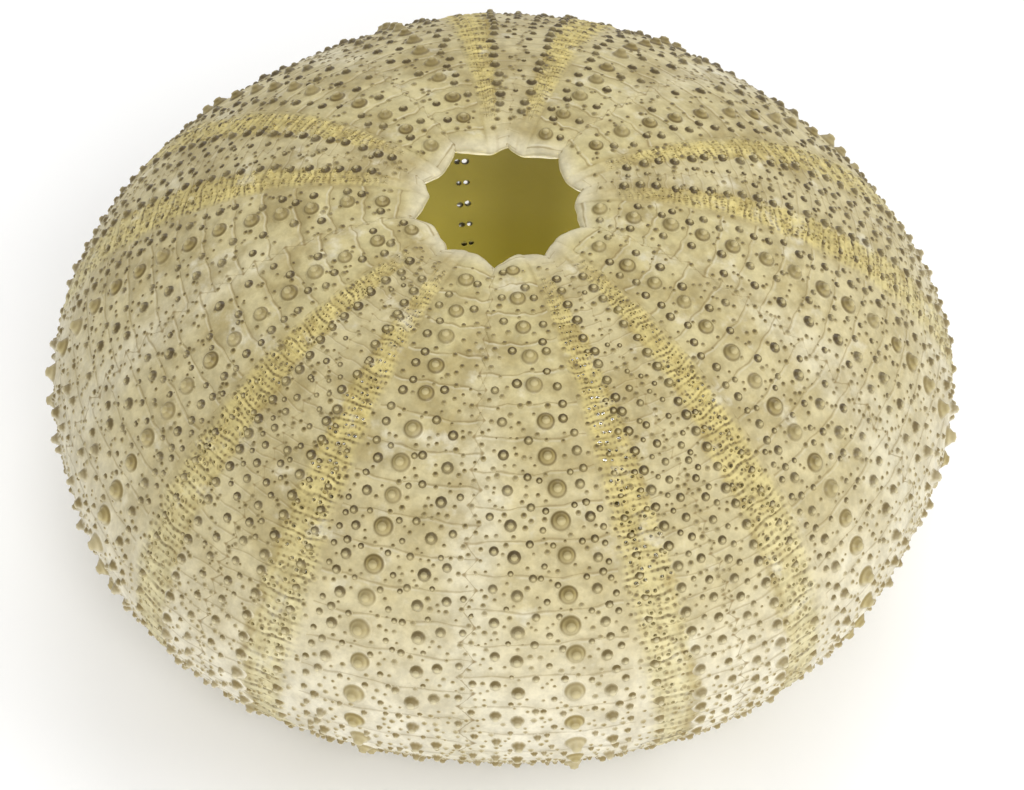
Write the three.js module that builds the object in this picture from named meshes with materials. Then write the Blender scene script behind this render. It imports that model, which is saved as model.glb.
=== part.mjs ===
// The bare shell (test) of a sea urchin: one thin, hollow, low-domed wall of lime, grown as a single piece.
// It is open at the top, where ten small scallops edge the missing crown, and underneath, at the mouth.
// Millimetres, +Z up. The origin is the middle of the flat ring that the shell rests on.
import * as THREE from 'three';

// Driving dimensions, in millimetres.
const equatorRadius = 40;     // radius of the widest level
const equatorHeight = 18.4;   // height of the widest level above the resting ring
const topHeight = 42.2;       // height of the dome's highest circle
const restOuter = 23.4;       // outer and inner radius of the flat resting ring
const restInner = 20.0;
const crownRadius = 7;        // mean radius of the opening at the top
const mouthRadius = 15;       // mean radius of the opening underneath
const mouthHeight = 2.0;      // the mouth's edge turns up into the shell by this much
const wall = 1.6;             // thickness of the wall
const crownWall = 0.9;        // thickness at the edge of the top opening
const thinnedWidth = 6;       // width of the strip over which the wall thins to that edge

// Five-rayed form.
const rays = 5;
const rayBulge = 0.011;       // the pored rays stand out by this part of the radius
const crownScallop = 1.0;     // depth of the ten scallops of the top opening
const crownRay = 0.35;        // the scallops between the rays reach further out by this much
const mouthScallop = 0.5;     // depth of the ten gill notches of the mouth
const scallopReach = 8;       // distance from an edge over which its scallops fade

// Facets.
const around = 80;            // facets round the shell, a multiple of ten so that each scallop's tip has one
const domeRows = 19;          // rows from the top opening to the resting ring
const lipRows = 4;            // rows from the resting ring to the mouth

// The outer outline's dome, as radius and height, from the top opening out and down to the resting ring.
function domeCurve() {
  const upper = [
    [crownRadius, topHeight - 0.3],
    [0.28 * equatorRadius, topHeight],
    [0.47 * equatorRadius, topHeight - 1.5],
    [0.66 * equatorRadius, topHeight - 5.1],
    [0.846 * equatorRadius, topHeight - 11.5],
    [0.945 * equatorRadius, topHeight - 17.4],
    [equatorRadius, equatorHeight],
  ];
  const lower = [
    [0.965 * equatorRadius, 0.63 * equatorHeight],
    [0.84 * equatorRadius, 0.32 * equatorHeight],
    [0.7 * equatorRadius, 0.105 * equatorHeight],
    [restOuter, 0],
  ];
  return new THREE.SplineCurve([...upper, ...lower].map(([r, z]) => new THREE.Vector2(r, z)));
}

// The outline's lip, from the resting ring's inner edge up to the mouth.
function lipCurve() {
  const turn = new THREE.Vector2((restInner + mouthRadius) / 2, 0.3 * mouthHeight);
  return new THREE.QuadraticBezierCurve(
    new THREE.Vector2(restInner, 0),
    turn,
    new THREE.Vector2(mouthRadius, mouthHeight),
  );
}

// Points of the whole outer outline, from the top opening to the mouth.
function outerOutline() {
  return [...domeCurve().getSpacedPoints(domeRows), ...lipCurve().getSpacedPoints(lipRows)];
}

// Distance along the outline to each of its points.
function runLengths(outline) {
  const lengths = [0];
  for (let i = 1; i < outline.length; i += 1) {
    lengths.push(lengths[i - 1] + outline[i].distanceTo(outline[i - 1]));
  }
  return lengths;
}

// The outward normal of the outline at one of its points.
function outlineNormal(outline, i) {
  const before = outline[Math.max(i - 1, 0)];
  const after = outline[Math.min(i + 1, outline.length - 1)];
  const along = after.clone().sub(before).normalize();
  return new THREE.Vector2(-along.y, along.x);
}

// The inner outline: the outer one moved in by the wall, which thins towards the top opening.
function innerOutline(outline, lengths) {
  return outline.map((point, i) => {
    const thinning = Math.max(0, 1 - lengths[i] / thinnedWidth);
    const thickness = wall + (crownWall - wall) * thinning;
    return point.clone().addScaledVector(outlineNormal(outline, i), -thickness);
  });
}

// How far an edge's scallops move the wall out at an angle: cusps at every tenth of a turn, round lobes between.
function crownShift(angle) {
  const lobe = Math.abs(Math.sin(rays * angle));
  return crownScallop * (0.5 - lobe) + crownRay * Math.cos(rays * angle);
}

function mouthShift(angle) {
  return mouthScallop * (0.5 - Math.abs(Math.sin(rays * angle)));
}

function fade(distance) {
  return Math.max(0, 1 - distance / scallopReach) ** 2;
}

// One vertex of the wall. Angle 0 is the front (-Y), in the middle of a field between two pored rays.
function wallPoint(point, fromCrown, fromMouth, angle) {
  const bulge = 1 - rayBulge * Math.cos(rays * angle);
  const shift = crownShift(angle) * fade(fromCrown) + mouthShift(angle) * fade(fromMouth);
  const radius = point.x * bulge + shift;
  return [radius * Math.sin(angle), -radius * Math.cos(angle), point.y];
}

// Closed rows of vertices: down the outside from the top opening to the mouth, then back up the inside.
function wallVertices() {
  const outline = outerOutline();
  const lengths = runLengths(outline);
  const total = lengths[lengths.length - 1];
  const inner = innerOutline(outline, lengths);
  const steps = outline.map((point, i) => i);
  const loop = [
    ...steps.map((i) => [outline[i], i]),
    ...steps.reverse().map((i) => [inner[i], i]),
  ];
  const positions = [];
  for (const [point, i] of loop) {
    for (let k = 0; k < around; k += 1) {
      const angle = (k / around) * 2 * Math.PI;
      positions.push(...wallPoint(point, lengths[i], total - lengths[i], angle));
    }
  }
  return { positions, rows: loop.length };
}

// Two triangles for each cell of the grid, which closes on itself both ways.
function wallTriangles(rows) {
  const triangles = [];
  for (let row = 0; row < rows; row += 1) {
    const next = (row + 1) % rows;
    for (let k = 0; k < around; k += 1) {
      const beside = (k + 1) % around;
      const a = row * around + k;
      const b = row * around + beside;
      const c = next * around + beside;
      const d = next * around + k;
      triangles.push(a, d, c, a, c, b);
    }
  }
  return triangles;
}

function shellGeometry() {
  const { positions, rows } = wallVertices();
  const geometry = new THREE.BufferGeometry();
  geometry.setAttribute('position', new THREE.Float32BufferAttribute(positions, 3));
  geometry.setIndex(wallTriangles(rows));
  geometry.computeVertexNormals();
  return geometry;
}

function shellMaterial() {
  return new THREE.MeshStandardMaterial({ color: 0xd2c8a2, roughness: 0.6, metalness: 0 });
}

const urchinShell = new THREE.Mesh(shellGeometry(), shellMaterial());
urchinShell.name = 'urchin_shell';

const group = new THREE.Group();
group.add(urchinShell);

export default group;
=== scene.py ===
import math
import bpy
import numpy as np
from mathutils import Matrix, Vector


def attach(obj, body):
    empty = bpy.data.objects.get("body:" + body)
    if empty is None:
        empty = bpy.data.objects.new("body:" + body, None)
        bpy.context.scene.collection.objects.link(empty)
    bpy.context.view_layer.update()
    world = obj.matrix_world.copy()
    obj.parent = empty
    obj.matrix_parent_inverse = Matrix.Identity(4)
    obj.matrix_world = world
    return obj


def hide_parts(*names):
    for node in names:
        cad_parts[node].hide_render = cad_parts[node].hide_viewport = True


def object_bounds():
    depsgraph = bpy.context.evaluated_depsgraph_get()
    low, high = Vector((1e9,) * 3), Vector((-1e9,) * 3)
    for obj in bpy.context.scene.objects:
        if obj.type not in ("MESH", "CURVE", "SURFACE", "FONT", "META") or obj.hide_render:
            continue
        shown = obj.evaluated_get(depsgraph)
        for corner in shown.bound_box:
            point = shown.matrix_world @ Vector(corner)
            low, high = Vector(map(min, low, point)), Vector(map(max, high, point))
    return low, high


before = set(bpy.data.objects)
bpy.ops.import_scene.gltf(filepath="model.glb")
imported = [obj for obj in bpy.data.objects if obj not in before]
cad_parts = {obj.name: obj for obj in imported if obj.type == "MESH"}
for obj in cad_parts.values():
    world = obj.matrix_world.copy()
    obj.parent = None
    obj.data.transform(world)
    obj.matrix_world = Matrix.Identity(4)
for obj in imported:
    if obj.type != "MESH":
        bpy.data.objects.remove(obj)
cadLow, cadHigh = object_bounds()
mm = 0.001
rays = 5
sectorAngle = 360 / rays  # degrees from the middle of one field to the next
fieldTurns = [k * sectorAngle for k in range(rays)]
rayTurns = [(k + 0.5) * sectorAngle for k in range(rays)]
print("frame: the plain wall is loaded")


# the outline of the wall, from the top opening down to the mouth
shellShape = {
    "equatorRadius": (cadHigh.x - cadLow.x) / 2,
    "topHeight": cadHigh.z,
    "equatorHeight": 18.4 * mm,
    "crownRadius": 7.0 * mm,  # the opening at the top
    "crownDrop": 0.3 * mm,  # how far its edge lies below the top
    # part of the equator's radius, mm below the top
    "dome": [(0.28, 0), (0.47, 1.5), (0.66, 5.1), (0.846, 11.5), (0.945, 17.4)],
    "flank": [(1, 1), (0.965, 0.63), (0.84, 0.32), (0.7, 0.12)],  # parts of the equator's radius and height
    "restRadius": 21.7 * mm,  # middle of the ring the shell rests on
    "rest": [(1.7, 0.5), (-1.7, 0.45)],  # mm from that middle, mm high
    "lip": (17.3 * mm, 0.95 * mm),  # radius and height just outside the mouth
    "mouthRadius": 15.0 * mm,  # the opening underneath
    "mouthHeight": 2.0 * mm,
    "wall": 1.5 * mm,
    "crownWall": 0.95 * mm,  # thickness at the edge of the top opening
    "thinned": 6.0 * mm,  # the wall thins over this width
    "rayBulge": 0.011,  # the rays stand out by this part of the radius
    "crownScallop": 1.15 * mm,
    "crownRay": 0.35 * mm,
    "mouthScallop": 0.5 * mm,
    "lobePower": 0.7,  # under 1 the lobes of both rims are pointed between broad arches
    "crownRagged": 0.9 * mm,  # irregularity of the edge round the top opening
    "raggedScale": 3.6,
    "scallopReach": 8.0 * mm,
    "unevenness": 0.5 * mm,  # slow waves of growth
    "unevenScale": 45.0,
}


def outlineKnots(shape):
    radius, top, middle = shape["equatorRadius"], shape["topHeight"], shape["equatorHeight"]
    knots = [(shape["crownRadius"], top - shape["crownDrop"])]
    knots += [(part * radius, top - drop * mm) for part, drop in shape["dome"]]
    knots += [(part * radius, rise * middle) for part, rise in shape["flank"]]
    knots += [(shape["restRadius"] + out * mm, rise * mm) for out, rise in shape["rest"]]
    return np.array(knots + [shape["lip"], (shape["mouthRadius"], shape["mouthHeight"])])


def smoothCurve(knots, steps=48):
    ends = np.vstack([knots[:1], knots, knots[-1:]])
    u = np.linspace(0, 1, steps, endpoint=False)[:, None]
    spans = []
    for a, b, c, d in zip(ends, ends[1:], ends[2:], ends[3:]):
        square = (2 * a - 5 * b + 4 * c - d) * u**2
        cube = (3 * b - a - 3 * c + d) * u**3
        spans.append(0.5 * (2 * b + (c - a) * u + square + cube))
    return np.vstack(spans + [knots[-1:]])


def runLengths(points):
    return np.concatenate([[0], np.cumsum(np.linalg.norm(np.diff(points, axis=0), axis=1))])


outline = smoothCurve(outlineKnots(shellShape))
outlineRun = runLengths(outline)
wallLength = outlineRun[-1]


def radiusAt(along):
    return np.interp(along, outlineRun, outline[:, 0])


def wallAt(along):
    thinning = np.clip(1 - along / shellShape["thinned"], 0, 1)
    return shellShape["wall"] + (shellShape["crownWall"] - shellShape["wall"]) * thinning


# plates: how they follow each other down the wall
fieldPlates = {"first": 2.1 * mm, "pitch": 3.02 * mm, "equatorPitch": 3.3 * mm, "mouthPitch": 2.0 * mm}
rayPlates = {"first": 3.9 * mm, "pitch": 1.48 * mm, "equatorPitch": 2.25 * mm, "mouthPitch": 1.5 * mm}
equatorAlong = 47 * mm


class PlateRows:
    def __init__(self, plates, bend):
        self.along = np.linspace(0, wallLength, 3000)
        upper = np.clip(self.along / equatorAlong, 0, 1) ** bend
        lower = np.clip((self.along - equatorAlong) / (wallLength - equatorAlong), 0, 1)
        pitch = plates["pitch"] + (plates["equatorPitch"] - plates["pitch"]) * upper
        pitch = pitch + (plates["mouthPitch"] - plates["equatorPitch"]) * lower
        self.row = np.cumsum(self.along[1] / pitch)
        self.row -= np.interp(plates["first"], self.along, self.row)

    def rowOf(self, along):
        return np.interp(along, self.along, self.row)

    def alongOf(self, row):
        return np.interp(row, self.row, self.along)


fieldRows = PlateRows(fieldPlates, bend=6)
rayRows = PlateRows(rayPlates, bend=1.6)


def zigzag(row):  # -1 where row is whole, +1 half-way between
    return 1 - 4 * np.abs(np.mod(row, 1) - 0.5)


def nearWhole(row):  # distance to the nearest whole number
    return np.abs(row - np.round(row))


def soft(value, low, high):
    t = np.clip((value - low) / (high - low), 0, 1)
    return t * t * (3 - 2 * t)


# the wall, first as flat sheets: across, along and lift, which a node tree bends into the shell
fieldSheet = {
    # degrees from its middle
    "across": [0, 0.35, 1.6, 3, 4.5, 6, 7.5, 9, 10.5, 12, 13.5, 15, 16.5, 18, 19.5, 20.9, 21.6],
    "rows": [0, 0.04, 0.25, 0.46, 0.5, 0.54, 0.75, 0.96],  # lines in each plate
    "zigzag": 1.0,  # degrees that the middle seam swings each way
    "bulge": 0.08 * mm,  # each plate's swelling
    "seam": 0.05 * mm,  # depth of the seams
    "puff": 0.26 * mm,  # swelling of the plates round the top opening
}
raySheet = {
    "across": [0, 1.6, 3.2, 4.8, 6.4, 7.05, 7.7, 8.45, 9.2, 9.8, 10.4, 11.0, 11.6, 12.35, 13.1, 14.4],
    "rows": [0, 0.25, 0.5, 0.75],
    "zigzag": -0.55,
    "ridge": 0.08 * mm,  # ridges between the pore rows
    "seam": 0.05 * mm,
    "poreRadius": 0.165 * mm,
    "poreDegrees": 0.3,  # no pore's radius is wider than this, near the crown
    "poreShift": (0.03 * mm, 0.02 * mm),
    "poreSizes": (0.85, 1.15),
    "poreWide": (1.0, 1.35),
    "funnel": 1.6,  # how much wider a pore is inside
    "collar": 0.09 * mm,  # height of each pore's collar
    "slant": 0.62 * mm,  # how much nearer the crown the upper pores open inside
    "poresFrom": 3.0 * mm,
    "fewFrom": 41 * mm,  # below this only every other row of pores goes through
    "upperPores": [9, 11],  # which of the across lines carry pores, in the two kinds of row
    "innerPores": [5, 7, 11, 13],
    "seed": 11,
}
fieldEdge = fieldSheet["across"][-1]
rayEdge = raySheet["across"][-1]
# slow waves of the plates' seams: mm high, waves round the shell, mm down the wall per radian, start
seamWaves = [(0.13, 15, 1.9, 0.0), (0.09, 40, -1.1, 2.0), (0.06, 75, 2.7, 4.0)]


def wander(angle, along):
    waves = 0
    for high, count, pace, start in seamWaves:
        waves = waves + high * np.sin(np.radians(angle) * count + along / (pace * mm) + start)
    return waves * mm * soft(np.minimum(along, wallLength - along), 1 * mm, 4 * mm)


def fieldLift(across, row, along):
    sheet = fieldSheet
    middle = sheet["zigzag"] * zigzag(row)
    plate = nearWhole(np.where(across > middle, row + 0.5, row))  # 0 at a seam, 0.5 in a plate's middle
    grown = soft(along, 0, 10 * mm) * 0.6 + 0.4
    half = np.clip(np.abs(across) / fieldEdge, 0, 1)
    puff = sheet["puff"] * (1 - (2 * half - 1) ** 2) * (1 - soft(along, 1 * mm, 5.5 * mm))
    lift = sheet["bulge"] * (1 - (1 - 2 * plate) ** 2) - sheet["seam"] * (plate < 0.01)
    lift = np.where(np.abs(across - middle) < 0.1, -0.6 * sheet["seam"], lift)
    return lift * grown * soft(fieldEdge - np.abs(across), 0, 1.3) + puff


def rayLift(across, row, along):
    sheet = raySheet
    off = np.abs(across)
    band = soft(off, 5.8, 6.9) * (1 - soft(off, 13.0, 14.2))
    ridges = -np.cos(4 * np.pi * row) * sheet["ridge"] * np.clip(radiusAt(along) / (20 * mm), 0.35, 1)
    middle = sheet["zigzag"] * zigzag(row)
    plate = nearWhole(np.where(across > middle, row, row + 0.5))
    seams = -sheet["seam"] * ((plate < 0.01) | (np.abs(across - middle) < 0.1)) * (1 - band)
    return ridges * band + seams


rim = {
    "rows": [0.08 * mm, 0.35 * mm, 0.9 * mm],  # extra lines round the two rims
    "drop": 0.32 * mm,  # how far the two rims are rounded off
}


def rimDrop(along):
    near = np.minimum(along, wallLength - along)
    return rim["drop"] * np.clip(1 - near / rim["rows"][-1], 0, 1) ** 2.4


def rowLines(plates, lines):
    first, last = plates.rowOf(rim["rows"][-1]), plates.rowOf(wallLength - rim["rows"][-1])
    whole = np.arange(math.floor(first), math.ceil(last) + 1)
    inside = np.sort((whole[:, None] + np.array(lines)[None, :]).ravel())
    inside = inside[(inside > first + 0.05) & (inside < last - 0.05)]
    top = [plates.rowOf(r) for r in rim["rows"]]
    low = [plates.rowOf(wallLength - r) for r in rim["rows"][::-1]]
    return np.concatenate([top, inside, low])


def flatPoints(turn, across, along, lift):
    x = np.radians(turn + across) * shellShape["equatorRadius"]
    return np.stack([x, along, lift], axis=-1)


def sheetBelt(turn, acrossLines, rows, plates, sheet, liftOf):
    # one closed belt of points: a rim row, the outside going down, a rim row, the inside coming up
    row, across = np.meshgrid(rows, acrossLines, indexing="ij")
    across = across + sheet["zigzag"] * zigzag(row) * (1 - soft(np.abs(across), 0.4, 5))
    along = plates.alongOf(row)
    lift = liftOf(across, row, along) - rimDrop(along)
    outer = flatPoints(turn, across, along + wander(turn + across, along), lift)
    back = along - sheet.get("slant", 0) * soft(along, 0, 5 * mm) * (1 - soft(along, 42 * mm, 56 * mm))
    inner = flatPoints(turn, across, back, rimDrop(along) - wallAt(back))
    topRim = flatPoints(turn, across[0], 0 * along[0], -0.5 * wallAt(along[0]))
    lowRim = flatPoints(turn, across[-1], 0 * along[0] + wallLength, -0.5 * wallAt(along[-1]))
    points = np.concatenate([topRim[None], outer, lowRim[None], inner[::-1]])
    place = np.stack([across, row, along / mm], axis=-1)
    place = np.concatenate([place[:1], place, place[-1:], place[::-1]])
    inside = np.concatenate([[0.3], np.zeros(len(rows)), [0.3], np.ones(len(rows))])
    inside = np.repeat(inside[:, None], len(acrossLines), axis=1)
    return points, place, inside


def beltFaces(rowCount, columnCount):
    row, column = np.meshgrid(np.arange(rowCount), np.arange(columnCount - 1), indexing="ij")
    here = row * columnCount + column
    below = (row + 1) % rowCount * columnCount + column
    return np.stack([here, below, below + 1, here + 1], -1)


def edgeFaces(outerRows, columnCount):
    # the two long edges, closed between the outside and the inside
    quads, tris = [], []
    for column, turned in ((0, False), (columnCount - 1, True)):
        line = np.arange(2 * outerRows + 2) * columnCount + column
        out = line[1 : outerRows + 1]
        back = line[::-1][:outerRows]
        made = list(zip(out[1:], out[:-1], back[:-1], back[1:]))
        ends = [(out[0], line[0], back[0]), (back[-1], line[outerRows + 1], out[-1])]
        quads += [q[::-1] if turned else q for q in made]
        tris += [t[::-1] if turned else t for t in ends]
    return quads, tris


ringSteps = [(-1, -1), (0, -1), (1, -1), (1, 0), (1, 1), (0, 1), (-1, 1), (-1, 0)]  # row, column round a pore


def cutPores(points, place, faces, pores, outerRows, rng):
    # each pore takes the four cells round a grid point and gives a collar, a hole and a slanting tunnel
    sheet = raySheet
    rowCount, columnCount = points.shape[:2]
    keep = np.ones(faces.shape[:2], bool)
    extraPoints, extraPlace, extraInside, quads = [], [], [], []
    for i, j, radius in pores:
        o, n = 1 + i, 2 * outerRows + 1 - i  # its rows outside and inside
        for belt in (o, n):
            keep[belt - 1 : belt + 1, j - 1 : j + 1] = False
        shiftX, shiftY = [rng.normal(0, spread) for spread in sheet["poreShift"]]
        centre = points[o, j] + np.array([shiftX, shiftY, 0])
        farCentre = points[n, j] + np.array([shiftX, shiftY, 0])
        stretch = shellShape["equatorRadius"] / radiusAt(centre[1])
        radius = radius * rng.uniform(*sheet["poreSizes"])
        wide = rng.uniform(*sheet["poreWide"])
        outerRing, innerRing, rings = [], [], [[], []]
        for down, right in ringSteps:
            outerRing.append((o + down) * columnCount + j + right)
            innerRing.append((n - down) * columnCount + j + right)
            angle = math.atan2(down, right)
            out = np.array([math.cos(angle) * stretch * wide, math.sin(angle), 0]) * radius
            near = centre + out + [0, 0, sheet["collar"]]
            for end, at in enumerate([near, farCentre + out * sheet["funnel"]]):
                rings[end].append(rowCount * columnCount + len(extraPoints))
                extraPoints.append(at)
                extraPlace.append(place[o, j])
                extraInside.append(end)
        hole, far = rings
        for k in range(8):
            m = (k + 1) % 8
            quads.append((outerRing[k], outerRing[m], hole[m], hole[k]))
            quads.append((hole[k], hole[m], far[m], far[k]))
            quads.append((innerRing[m], innerRing[k], far[k], far[m]))
    return keep, extraPoints, extraPlace, extraInside, quads


def poresOf(rows, plates, acrossLines):
    # pore rows lie on the lines a quarter plate from each seam, three pairs to a plate
    found = []
    columns = (len(acrossLines) - 1) // 2
    for i in range(3, len(rows) - 3):
        quarter = np.mod(rows[i], 1)
        along = plates.alongOf(rows[i])
        if nearWhole(quarter * 2 + 0.5) > 0.01 or along < raySheet["poresFrom"]:
            continue
        few = along > raySheet["fewFrom"]
        radius = min(raySheet["poreRadius"], np.radians(raySheet["poreDegrees"]) * radiusAt(along))
        for side in (-1, 1):
            upper = (quarter > 0.5) if side < 0 else (quarter < 0.5)
            if few and upper:
                continue
            for line in raySheet["upperPores"] if upper or few else raySheet["innerPores"]:
                found.append((i, columns + side * line, radius))
    return found


def wallSheets(name, sheet, plates, liftOf, turns):
    acrossLines = np.array([-a for a in sheet["across"][:0:-1]] + sheet["across"])
    rows = rowLines(plates, sheet["rows"])
    rng = np.random.default_rng(raySheet["seed"])
    pointSets, placeSets, insideSets, quadSets, triSets = [], [], [], [], []
    base = 0
    for turn in turns:
        points, place, inside = sheetBelt(turn, acrossLines, rows, plates, sheet, liftOf)
        faces = beltFaces(*points.shape[:2])
        quads, tris = edgeFaces(len(rows), len(acrossLines))
        keep, more = np.ones(faces.shape[:2], bool), ([], [], [], [])
        if "poreRadius" in sheet:
            pores = poresOf(rows, plates, acrossLines)
            keep, *more = cutPores(points, place, faces, pores, len(rows), rng)
        pointSets.append(np.concatenate([points.reshape(-1, 3), np.array(more[0]).reshape(-1, 3)]))
        placeSets.append(np.concatenate([place.reshape(-1, 3), np.array(more[1]).reshape(-1, 3)]))
        insideSets.append(np.concatenate([inside.ravel(), np.array(more[2])]))
        cut = np.array(more[3], int).reshape(-1, 4)
        quadSets.append(base + np.concatenate([faces[keep], np.array(quads), cut]))
        triSets.append(base + np.array(tris))
        base += len(pointSets[-1])
    attributes = {"place": np.concatenate(placeSets), "inside": np.concatenate(insideSets)}
    points, quads, tris = [np.concatenate(sets) for sets in (pointSets, quadSets, triSets)]
    return meshFrom(name, points, quads, tris, attributes)


def meshFrom(name, points, quads, tris, attributes):
    # a mesh from arrays, without the points that no face uses
    corners = np.concatenate([quads.ravel(), tris.ravel()]).astype(int)
    used, corners = np.unique(corners, return_inverse=True)
    sizes = np.concatenate([np.full(len(quads), 4), np.full(len(tris), 3)])
    starts = np.concatenate([[0], np.cumsum(sizes)[:-1]])
    mesh = bpy.data.meshes.new(name)
    mesh.vertices.add(len(used))
    mesh.vertices.foreach_set("co", points[used].astype(np.float32).ravel())
    mesh.loops.add(len(corners))
    mesh.loops.foreach_set("vertex_index", corners.astype(np.int32).ravel())
    mesh.polygons.add(len(sizes))
    mesh.polygons.foreach_set("loop_start", starts.astype(np.int32))
    mesh.update(calc_edges=True)
    for label, values in attributes.items():
        addAttribute(mesh, label, values[used])
    return mesh


def addAttribute(mesh, label, values):
    values = np.asarray(values, np.float32)
    if values.ndim == 1:
        mesh.attributes.new(label, "FLOAT", "POINT").data.foreach_set("value", values)
    else:
        mesh.attributes.new(label, "FLOAT_VECTOR", "POINT").data.foreach_set("vector", values.ravel())


def addObject(name, data):
    made = bpy.data.objects.new(name, data)
    bpy.context.scene.collection.objects.link(made)
    return made


# nodes: a Value is a node's output, and sums can be written with it as with a number


class Value:
    def __init__(self, socket):
        self.socket = socket
        self.tree = socket.id_data

    def __add__(self, other):
        return mathNode("ADD", self, other)

    def __sub__(self, other):
        return mathNode("SUBTRACT", self, other)

    def __rsub__(self, other):
        return mathNode("SUBTRACT", other, self)

    def __mul__(self, other):
        return mathNode("MULTIPLY", self, other)

    def __truediv__(self, other):
        return mathNode("DIVIDE", self, other)

    def __pow__(self, other):
        return mathNode("POWER", self, other)

    def __abs__(self):
        return mathNode("ABSOLUTE", self)


def setInputs(node, inputs):
    for label, value in inputs.items():
        socket = node.inputs[label]
        value = value.socket if isinstance(value, Value) else value
        if isinstance(value, bpy.types.NodeSocket):
            socket.id_data.links.new(value, socket)
        else:
            socket.default_value = value


def newNode(tree, kind, inputs, **settings):
    node = tree.nodes.new(kind)
    for label, value in settings.items():
        setattr(node, label, value)
    setInputs(node, inputs)
    return node


def mathNode(operation, *values, clamp=False):
    tree = next(value for value in values if isinstance(value, Value)).tree
    node = newNode(tree, "ShaderNodeMath", dict(enumerate(values)), operation=operation, use_clamp=clamp)
    return Value(node.outputs[0])


def splitVector(vector):
    node = newNode(vector.tree, "ShaderNodeSeparateXYZ", {0: vector})
    return [Value(output) for output in node.outputs]


def joinVector(x, y, z):
    return Value(newNode(x.tree, "ShaderNodeCombineXYZ", {0: x, 1: y, 2: z}).outputs[0])


def newTree(name, inputs, outputs):
    tree = bpy.data.node_groups.new(name, "GeometryNodeTree")
    for label, kind in inputs:
        tree.interface.new_socket(name=label, in_out="INPUT", socket_type=kind)
    for label, kind in outputs:
        tree.interface.new_socket(name=label, in_out="OUTPUT", socket_type=kind)
    given = {output.name: Value(output) for output in tree.nodes.new("NodeGroupInput").outputs}
    return tree, given, tree.nodes.new("NodeGroupOutput")


shellInputs = {
    "Equator Radius": shellShape["equatorRadius"],
    "Ray Bulge": shellShape["rayBulge"],
    "Crown Scallop": shellShape["crownScallop"],
    "Crown Ray": shellShape["crownRay"],
    "Mouth Scallop": shellShape["mouthScallop"],
    "Lobe Power": shellShape["lobePower"],
    "Crown Ragged": shellShape["crownRagged"],
    "Ragged Scale": shellShape["raggedScale"],
    "Scallop Reach": shellShape["scallopReach"],
    "Wall Length": float(wallLength),
    "Unevenness": shellShape["unevenness"],
    "Uneven Scale": shellShape["unevenScale"],
}
shellSockets = [(label, "NodeSocketFloat") for label in shellInputs]
pieceSockets = [("Geometry", "NodeSocketGeometry"), ("Outline", "NodeSocketObject")]
pieceSockets += [("Finish", "NodeSocketMaterial")] + shellSockets


def fadeNode(distance, reach):
    return mathNode("MAXIMUM", 1.0 - distance / reach, 0.0) ** 2.0


def positionNode(tree):
    return Value(tree.nodes.new("GeometryNodeInputPosition").outputs[0])


def placeOnShellTree():
    # where a flat point lies on the five-rayed shell, and the ways out of the wall and down it there
    outputs = [(label, "NodeSocketVector") for label in ("Position", "Normal", "Down")]
    tree, given, made = newTree("placeOnShell", [("Profile", "NodeSocketGeometry")] + shellSockets, outputs)
    around, along, lift = splitVector(positionNode(tree))
    angle = around / given["Equator Radius"]
    sine = mathNode("SINE", angle)
    cosine = mathNode("COSINE", angle) * -1.0

    def turned(x, z):  # a vector in the plane of the outline, turned to its place round the shell
        return joinVector(x * sine, x * cosine, z)

    inputs = {"Curves": given["Profile"], "Length": along}
    sample = newNode(tree, "GeometryNodeSampleCurve", inputs, mode="LENGTH")
    outlineAt = splitVector(Value(sample.outputs["Position"]))
    tangent = splitVector(Value(sample.outputs["Tangent"]))
    outX = tangent[2] * -1.0
    outZ = tangent[0]

    wave = mathNode("COSINE", angle * float(rays))
    lobe = 0.5 - abs(mathNode("SINE", angle * float(rays))) ** given["Lobe Power"]
    inputs = {"Vector": joinVector(sine, cosine, 0.0), "Scale": given["Ragged Scale"], "Detail": 1.5}
    ragged = Value(newNode(tree, "ShaderNodeTexNoise", inputs).outputs[0])
    crown = wave * given["Crown Ray"] + lobe * given["Crown Scallop"]
    crown = (ragged - 0.5) * given["Crown Ragged"] + crown
    crown = crown * fadeNode(along, given["Scallop Reach"])
    mouth = lobe * given["Mouth Scallop"] * fadeNode(given["Wall Length"] - along, given["Scallop Reach"])

    onWall = turned(outlineAt[0], outlineAt[2])
    inputs = {"Vector": onWall, "Scale": given["Uneven Scale"], "Detail": 1.0}
    uneven = Value(newNode(tree, "ShaderNodeTexNoise", inputs).outputs[0]) - 0.5
    lift = uneven * given["Unevenness"] + lift

    bulge = 1.0 - wave * given["Ray Bulge"]
    radius = (outX * lift + outlineAt[0]) * bulge + (crown + mouth)
    height = mathNode("MAXIMUM", outZ * lift + outlineAt[2], 0.0)
    down = turned(tangent[0], tangent[2])
    setInputs(made, {"Position": turned(radius, height), "Normal": turned(outX, outZ), "Down": down})
    return tree


def profileObject():
    curve = bpy.data.curves.new("shellOutline", "CURVE")
    curve.dimensions = "3D"
    spline = curve.splines.new("POLY")
    spline.points.add(len(outline) - 1)
    for point, (radius, height) in zip(spline.points, outline):
        point.co = (radius, 0, height, 1)
    return addObject("shellOutline", curve)


def placedGroup(tree, given, placeTree):
    info = newNode(tree, "GeometryNodeObjectInfo", {"Object": given["Outline"]})
    inputs = {label: given[label] for label in shellInputs}
    inputs["Profile"] = info.outputs["Geometry"]
    group = newNode(tree, "GeometryNodeGroup", {}, node_tree=placeTree)
    setInputs(group, inputs)
    return group.outputs["Position"], group.outputs["Normal"], group.outputs["Down"]


def endTree(tree, geometry, given, made):
    realize = newNode(tree, "GeometryNodeRealizeInstances", {0: geometry})
    inputs = {"Geometry": realize.outputs[0], "Material": given["Finish"]}
    setInputs(made, {0: newNode(tree, "GeometryNodeSetMaterial", inputs).outputs[0]})


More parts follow.
